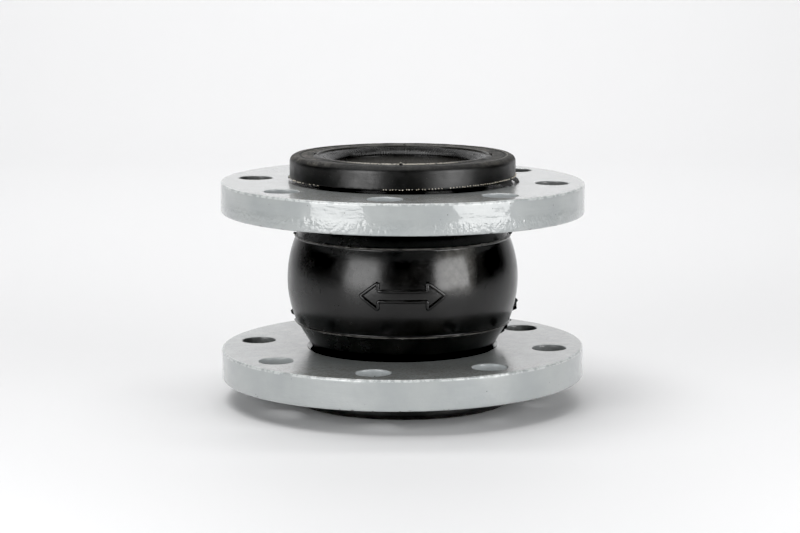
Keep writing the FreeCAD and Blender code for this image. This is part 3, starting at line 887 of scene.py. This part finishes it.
MARK_HALF_LENGTH = 22.4 * MM
MARK_HALF_HEIGHT = 7.05 * MM
MARK_HEAD = 9.5 * MM
MARK_SHAFT = 2.7 * MM
MARK_HEIGHT = MIDDLE - 0.7 * MM
MARK_LINE = 1.9 * MM
MARK_RELIEF = 1.1 * MM


def arrow_corners():
    """A double-headed arrow, as (along, up) from its middle."""
    neck = MARK_HALF_LENGTH - MARK_HEAD
    half = [(-neck, MARK_SHAFT), (neck, MARK_SHAFT), (neck, MARK_HALF_HEIGHT), (MARK_HALF_LENGTH, 0)]
    other = [(neck, -MARK_HALF_HEIGHT), (neck, -MARK_SHAFT), (-neck, -MARK_SHAFT)]
    return half + other + [(-neck, -MARK_HALF_HEIGHT), (-MARK_HALF_LENGTH, 0), (-neck, MARK_HALF_HEIGHT)]


def rounded_path(corners, fillet, pitch):
    """A closed path with its corners rounded, as evenly spaced points in a plane."""
    path = []
    for number, corner in enumerate(corners):
        corner = Vector(corner)
        before = Vector(corners[number - 1])
        after = Vector(corners[(number + 1) % len(corners)])
        start = corner + (before - corner).normalized() * fillet
        end = corner + (after - corner).normalized() * fillet
        for share in steps(0, 1, 0.2):
            path.append(start.lerp(corner, share).lerp(corner.lerp(end, share), share))
        stop = after + (corner - after).normalized() * fillet
        count = max(1, round((stop - end).length / pitch))
        path += [end.lerp(stop, k / count) for k in range(1, count)]
    return path


def on_bulge(along, up, lift):
    """A point above the bulge's face, `along` round it and `up` from the middle of the mark."""
    height = MARK_HEIGHT + up
    radius = wall_radius(height, 0)
    return on_axis(radius + lift, FRONT + along / radius, height)


def raised_mark():
    """A generic moulded mark: the outline of a double-headed arrow, as a rounded raised line."""
    path = rounded_path(arrow_corners(), 1.0 * MM, 0.7 * MM)
    sides = 8
    build = bmesh.new()
    rings = []
    for number, point in enumerate(path):
        ahead = path[(number + 1) % len(path)] - path[number - 1]
        across = Vector((-ahead.y, ahead.x)).normalized()
        uneven = 1 + 0.18 * noise_at(Vector((point.x, point.y, 0)), 2.5 * MM, 6.0)
        ring = []
        for side in range(sides + 1):
            turn = math.pi * side / sides
            place = point - across * math.cos(turn) * MARK_LINE / 2
            lift = MARK_RELIEF * uneven * math.sin(turn) ** 0.8
            ring.append(build.verts.new(on_bulge(place.x, place.y, lift)))
        for edge in (1, -1):
            place = point + across * edge * MARK_LINE / 2
            ring.append(build.verts.new(on_bulge(place.x, place.y, -0.4 * MM)))
        rings.append(ring)
    close_bands(build, rings, closed=True)
    bmesh.ops.recalc_face_normals(build, faces=build.faces)
    piece = new_piece("raised_arrow_mark", build, COVER, crease=60)
    blend_bulge(piece)


raised_mark()


# ------------------------ bead rings

RING_TURNS = 420


def ring_outline(upper):
    """A bead ring's section, as (radius, height): side, rounded edge, face with its groove, crest. Its parts
    are first given by their depth below the face."""
    rim = RING_RADIUS
    side = [(rim, depth) for depth in steps(RING_DEPTH - 0.5 * MM, RING_EDGE, 0.8 * MM)]
    edge = []
    for turn in steps(0, math.pi / 2, math.pi / 16)[1:]:
        edge.append((rim - RING_EDGE * (1 - math.cos(turn)), RING_EDGE * (1 - math.sin(turn)) + 0.1 * MM))
    face_radii = steps(rim - RING_EDGE - 0.6 * MM, GROOVE_RADIUS + 0.4 * MM, 0.7 * MM)
    face = [(radius, 0.1 * MM) for radius in face_radii]
    groove = [(GROOVE_RADIUS + 0.15 * MM, 0.5 * MM), (GROOVE_RADIUS - 0.15 * MM, 0.5 * MM)]
    inner_radii = steps(GROOVE_RADIUS - 0.4 * MM, CREST_RADIUS + 1.3 * MM, 0.6 * MM)
    fall = 0.7 * MM / (inner_radii[0] - inner_radii[-1])
    inner_face = [(radius, 0.25 * MM + fall * (inner_radii[0] - radius)) for radius in inner_radii]
    crest = [
        (CREST_RADIUS + 0.85 * MM, 0.55 * MM),
        (CREST_RADIUS + 0.4 * MM, 0.22 * MM),
        (CREST_RADIUS + 0.05 * MM, 0.02 * MM),
        (CREST_RADIUS - 0.6 * MM, 0.05 * MM),
        (CREST_RADIUS - 0.95 * MM, 0.3 * MM),
        (CREST_RADIUS - 1.1 * MM, 0.8 * MM),
        (CREST_RADIUS - 1.1 * MM, 3.2 * MM),
    ]
    back = [(NECK_RADIUS + 0.2 * MM, 4.9 * MM), (NECK_RADIUS + 0.2 * MM, RING_DEPTH)]
    under = [(rim - 0.35 * MM, RING_DEPTH), (rim - 0.08 * MM, RING_DEPTH - 0.2 * MM)]
    section = side + edge + face + groove + inner_face + crest + back + under
    return [(radius, LENGTH - depth if upper else depth) for radius, depth in section]


def ring_sway(upper):
    """How a bead ring's surface wanders: a hand-trimmed lower edge, and a face that is never raised."""
    face = LENGTH if upper else 0.0
    inward = -1 if upper else 1

    def shift(point):
        depth = abs(point.z - face)
        radius = math.hypot(point.x, point.y)
        out = 0.14 * MM * noise_at(point, 16 * MM, 3.0) * smooth(radius, 50 * MM, 58 * MM)
        trimmed = smooth(depth, RING_DEPTH - 1.0 * MM, RING_DEPTH) * smooth(radius, 55 * MM, 59 * MM)
        out += trimmed * 0.3 * MM * noise_at(point, 1.6 * MM, 8.0)
        outer = smooth(radius, RING_RADIUS - 6 * MM, RING_RADIUS) * (1 - smooth(depth, 2 * MM, 6 * MM))
        sink = 0.25 * MM * outer * abs(noise_at(point, 12 * MM, 1.0))
        sink += 0.1 * MM * abs(noise_at(point, 4 * MM, 2.0))
        return out, inward * sink * (1 - smooth(depth, 3 * MM, 6 * MM))

    return shift


def bead_ring(end, upper):
    """The visible rubber of one bead."""
    mesh_builder = turned(ring_outline(upper), RING_TURNS, ring_sway(upper))
    piece = new_piece(f"{end}_bead_ring", mesh_builder, FACE, crease=48)
    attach(piece, f"{end}_end")
    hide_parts(f"{end}_face_ring", f"{end}_chafer_strip")


def crest_vents():
    """Vent nubs on the crest of the upper sealing face, a quarter turn apart."""
    rng = random.Random(33)
    build = bmesh.new()
    for number in range(4):
        angle = FRONT + number * math.pi / 2 - 0.02
        top = on_axis(CREST_RADIUS + 0.1 * MM, angle, LENGTH - 0.8 * MM)
        lump(build, top, on_axis(0.4, angle, 1).normalized(), 1.0 * MM, 1.5 * MM, rng)
    piece = new_piece("upper_crest_vents", build, FACE, crease=50)
    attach(piece, "upper_end")


bead_ring("lower", upper=False)
bead_ring("upper", upper=True)
crest_vents()


# The row of cut cords, in mm: how far apart they are, how far above the ring's lower edge they run, and how
# much higher the row climbs towards the ring's right end
CORD_PITCH = 1.7
CORD_RISE = 0.25
CORD_SLANT = 1.25
# To the left of the front, rubber hides all the cords between these angles, and some of those further on
HIDDEN_FROM = math.radians(-46)
HIDDEN_TO = math.radians(-10)


def cord_ends():
    """The cut cords of the outermost ply, in a row round the lower edge of the upper ring. The row climbs
    towards the right, and rubber hides the cords in places."""
    rng = random.Random(5)
    pitch = CORD_PITCH * MM
    count = round(2 * math.pi * RING_RADIUS / pitch)
    bottom = LENGTH - RING_DEPTH
    build = bmesh.new()
    for number in range(count):
        angle = 2 * math.pi * number / count + rng.uniform(-0.2, 0.2) * pitch / RING_RADIUS
        from_front = (angle - FRONT + math.pi) % (2 * math.pi) - math.pi
        covered = HIDDEN_FROM < from_front < HIDDEN_TO
        patchy = from_front < HIDDEN_FROM and rng.random() < 0.45
        torn = abs(math.sin(angle * 3.7)) < 0.12 and rng.random() < 0.6
        if covered or patchy or torn:
            continue
        rise = CORD_RISE + CORD_SLANT * max(math.cos(angle), 0)
        level = bottom + (rise + rng.uniform(-0.12, 0.12)) * MM
        surface = on_axis(RING_RADIUS - 0.05 * MM, angle, level)
        outwards = on_axis(1, angle, rng.uniform(-0.25, 0.1)).normalized()
        wide = rng.uniform(0.26, 0.36) * MM
        tall = rng.uniform(0.45, 0.65) * MM
        lump(build, surface, outwards, wide, tall, rng, sides=6)
    piece = new_piece("upper_cord_ends", build, CORD, crease=60)
    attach(piece, "upper_end")


cord_ends()


# ------------------------ flash


def fin(build, bases, outwards, across, reaches, thickness):
    """A thin torn strip of rubber along a row of points. Each point has its own direction outwards and across
    the strip, and its own reach."""
    rings = []
    for base, out, side, far in zip(bases, outwards, across, reaches):
        half = side * thickness / 2
        tip = base + out * far
        thin = half * 0.6
        corners = (base - half, base + half, tip + thin, tip - thin)
        rings.append([build.verts.new(corner) for corner in corners])
    close_bands(build, rings, closed=False)
    build.faces.new(rings[0])
    build.faces.new(rings[-1][::-1])


def parting_flash(name, tabs, blend, seed):
    """Torn flash on the mould's upright parting line. A tab is (angle, lowest, highest, reach)."""
    rng = random.Random(seed)
    build = bmesh.new()
    for angle, low, high, far in tabs:
        heights = steps(low, high, 0.6 * MM)
        bases = [on_axis(wall_radius(height, 0.5 * MM), angle, height) for height in heights]
        outwards = [on_axis(1, angle + rng.uniform(-0.15, 0.15), 0) for _ in heights]
        across = [on_axis(1, angle + math.pi / 2, 0)] * len(heights)
        swell = [smooth(min(k, len(heights) - 1 - k), -0.5, 2.5) for k in range(len(heights))]
        reaches = [0.5 * MM + far * share * rng.uniform(0.55, 1.0) for share in swell]
        fin(build, bases, outwards, across, reaches, 0.9 * MM)
    bmesh.ops.recalc_face_normals(build, faces=build.faces)
    piece = new_piece(name, build, COVER, crease=40)
    blend(piece)


parting_flash(
    "bulge_parting_flash",
    [(0.0, 47.5 * MM, 55 * MM, 2.4 * MM), (math.pi, 45 * MM, 49 * MM, 1.8 * MM)],
    blend_bulge, seed=2,
)
parting_flash("shoulder_parting_flash", [(0.0, 35 * MM, 41 * MM, 2.2 * MM)], blend_lower, seed=3)


# Flash round the upper ring, as (first angle, last angle, reach in mm, how much it droops). The angles are in
# degrees from the front.
RING_FLASH = (
    (-98, -82, 1.3, -0.2),
    (58, 73, 1.9, -1.3),
    (76, 96, 2.7, -1.0),
    (168, 176, 1.0, -0.3),
)


def ring_flash():
    """Ragged flash along the lower edge of the upper ring, at its two sides and its back."""
    rng = random.Random(12)
    build = bmesh.new()
    height = LENGTH - RING_DEPTH + 0.25 * MM
    for start, end, far, droop in RING_FLASH:
        angles = [FRONT + math.radians(turn) for turn in steps(start, end, 0.7)]
        bases = [on_axis(RING_RADIUS - 0.6 * MM, angle, height) for angle in angles]
        outwards = [on_axis(1, angle, droop + rng.uniform(-0.15, 0.15)) for angle in angles]
        across = [Vector((0, 0, 1))] * len(angles)
        swell = [smooth(min(k, len(angles) - 1 - k), -0.5, 4) for k in range(len(angles))]
        reaches = [(0.5 + far * share * rng.uniform(0.2, 1.0)) * MM for share in swell]
        fin(build, bases, outwards, across, reaches, 0.55 * MM)
    bmesh.ops.recalc_face_normals(build, faces=build.faces)
    piece = new_piece("upper_ring_flash", build, FILLER, crease=15)
    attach(piece, "upper_end")


ring_flash()


# ------------------------ inside the beads

BEAD_MATERIALS = {"toe_filler": FILLER, "heel_filler": FILLER, "bead_wrap": CORD, "bead_wire": STEEL}
for end_name in ("lower", "upper"):
    for part_name, material in BEAD_MATERIALS.items():
        for slot in frame["nodes"][f"{end_name}_{part_name}"].material_slots:
            slot.material = material


# ------------------------ studio

# The camera's lens is in mm, the other lengths are in metres, and the lights' powers are in watts
CAMERA_TARGET = Vector((-1.4 * MM, 0, 71.9 * MM))
CAMERA_DISTANCE = 1.2974
CAMERA_ELEVATION = math.radians(8.92)
CAMERA_LENS = 108.2
SOFTBOX_DISTANCE = 0.68
SOFTBOX_BOTTOM = 0.018
SOFTBOX_TOP = 0.36
SWEEP_WHITE = (0.80, 0.80, 0.805)
ROOM_LIGHT = (0.9, 0.93, 1.0)
ROOM_STRENGTH = 0.02
# The display curve takes anything darker than this to black
BLACK_LEVEL = 0.006


def studio_sweep():
    """A white floor that curves up into a backdrop."""
    half_width = 2.2
    front, back, bend, top = -2.6, 1.15, 0.5, 2.4
    section = [(y, 0.0) for y in steps(front, back, 0.25)]
    for turn in steps(0, math.pi / 2, math.pi / 32)[1:]:
        section.append((back + bend * math.sin(turn), bend * (1 - math.cos(turn))))
    section.append((back + bend, top))
    build = bmesh.new()
    left = [build.verts.new((-half_width, y, z)) for y, z in section]
    right = [build.verts.new((half_width, y, z)) for y, z in section]
    for k in range(len(section) - 1):
        build.faces.new((left[k], right[k], right[k + 1], left[k + 1]))
    white = Nodes("studio_white").finish(SWEEP_WHITE, 0.6, None, IOR=1.45)
    new_piece("studio_sweep", build, white)


def area_light(name, place, facing, size, power):
    """A soft rectangular light, given as (width, height) in metres, that faces along a direction."""
    lamp = bpy.data.lights.new(name, "AREA")
    lamp.shape = "RECTANGLE"
    lamp.size, lamp.size_y = size
    lamp.energy = power
    light = bpy.data.objects.new(name, lamp)
    light.location = place
    light.rotation_euler = facing.to_track_quat("-Z", "Y").to_euler()
    bpy.context.collection.objects.link(light)


def softbox(name, azimuth, width, power):
    """An upright light beside the camera that faces the pipe axis. Its azimuth is in degrees from the front,
    positive to the right."""
    height = (SOFTBOX_BOTTOM + SOFTBOX_TOP) / 2
    place = on_axis(SOFTBOX_DISTANCE, FRONT + math.radians(azimuth), height)
    facing = Vector((-place.x, -place.y, 0))
    area_light(name, place, facing, (width, SOFTBOX_TOP - SOFTBOX_BOTTOM), power)


def overhead(name, place, target, size, power):
    """A light above the object that faces a point."""
    area_light(name, Vector(place), Vector(target) - Vector(place), size, power)


def studio_camera():
    """The camera of the photograph."""
    lens = bpy.data.cameras.new("camera")
    lens.lens = CAMERA_LENS
    lens.sensor_width = 36.0
    camera = bpy.data.objects.new("camera", lens)
    away = Vector((0, -math.cos(CAMERA_ELEVATION), math.sin(CAMERA_ELEVATION)))
    camera.location = CAMERA_TARGET + away * CAMERA_DISTANCE
    camera.rotation_euler = (-away).to_track_quat("-Z", "Y").to_euler()
    bpy.context.collection.objects.link(camera)
    bpy.context.scene.camera = camera


studio_sweep()
softbox("left_softbox", azimuth=-39.2, width=0.385, power=2.7)
softbox("right_softbox", azimuth=48.6, width=0.415, power=2.95)
overhead("top_light", (-0.25, -0.22, 1.3), target=(0, 0, 0.05), size=(0.9, 0.75), power=7.8)
overhead("backdrop_light", (0, 0.4, 1.7), target=(0, 1.6, 0.85), size=(2.4, 0.6), power=36)
studio_camera()

world = bpy.data.worlds.new("studio")
world.use_nodes = True
background = world.node_tree.nodes["Background"]
background.inputs["Color"].default_value = (*ROOM_LIGHT, 1)
background.inputs["Strength"].default_value = ROOM_STRENGTH
bpy.context.scene.world = world
display = bpy.context.scene.view_settings
display.view_transform = "Standard"
display.use_curve_mapping = True
display.curve_mapping.black_level = (BLACK_LEVEL, BLACK_LEVEL, BLACK_LEVEL)
display.curve_mapping.update()
